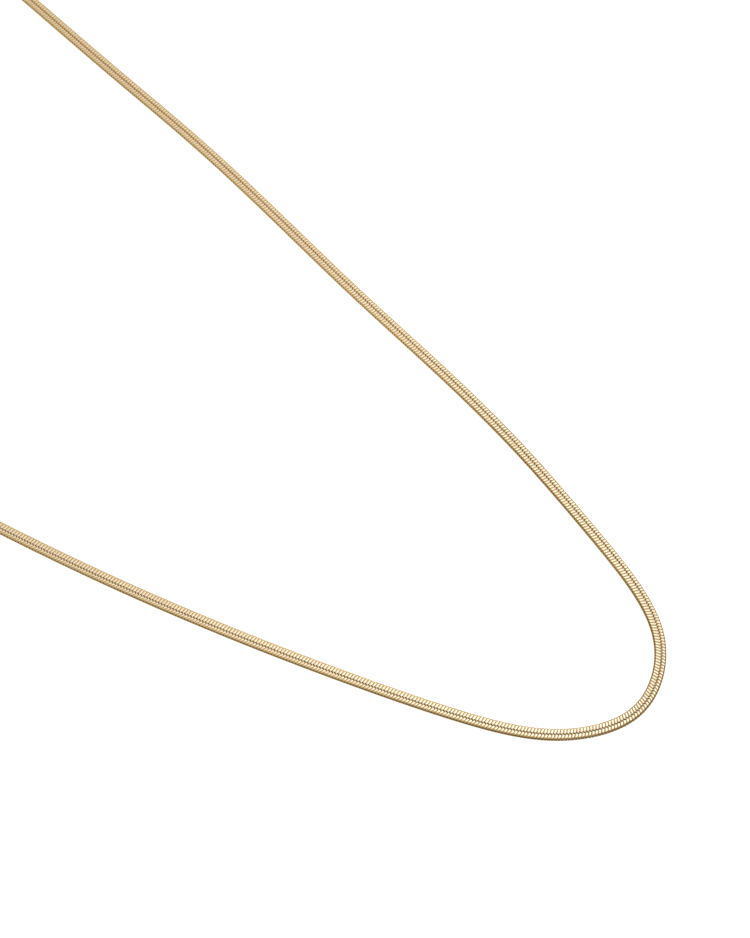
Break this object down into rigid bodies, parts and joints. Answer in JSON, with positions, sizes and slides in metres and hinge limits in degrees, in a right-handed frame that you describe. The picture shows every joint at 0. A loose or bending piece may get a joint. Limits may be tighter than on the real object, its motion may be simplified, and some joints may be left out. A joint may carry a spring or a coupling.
{
  "type": "herringbone neck chain",
  "caption": "Fine flat herringbone neck chain of slanted interlocked links, closed by end caps and a spring ring, lying as a loop on a surface.",
  "frame": {"origin": "on the surface that the chain lies on, under the middle of the loop's box", "axes": "+Y from the bend at the front to the clasp at the back, +X to the right seen from above with +Y up, +Z up from the surface"},
  "size_m": [0.0988, 0.2124, 0.0024],
  "materials": {
    "chain_gold": "polished gold plate on rounded links",
    "findings_gold": "smooth polished gold plate"
  },
  "bodies": {
    "root": {"chain": "chain_gold", "end_cap_right": "findings_gold", "end_cap_left": "findings_gold", "clasp": "findings_gold"}
  },
  "joints": []
}
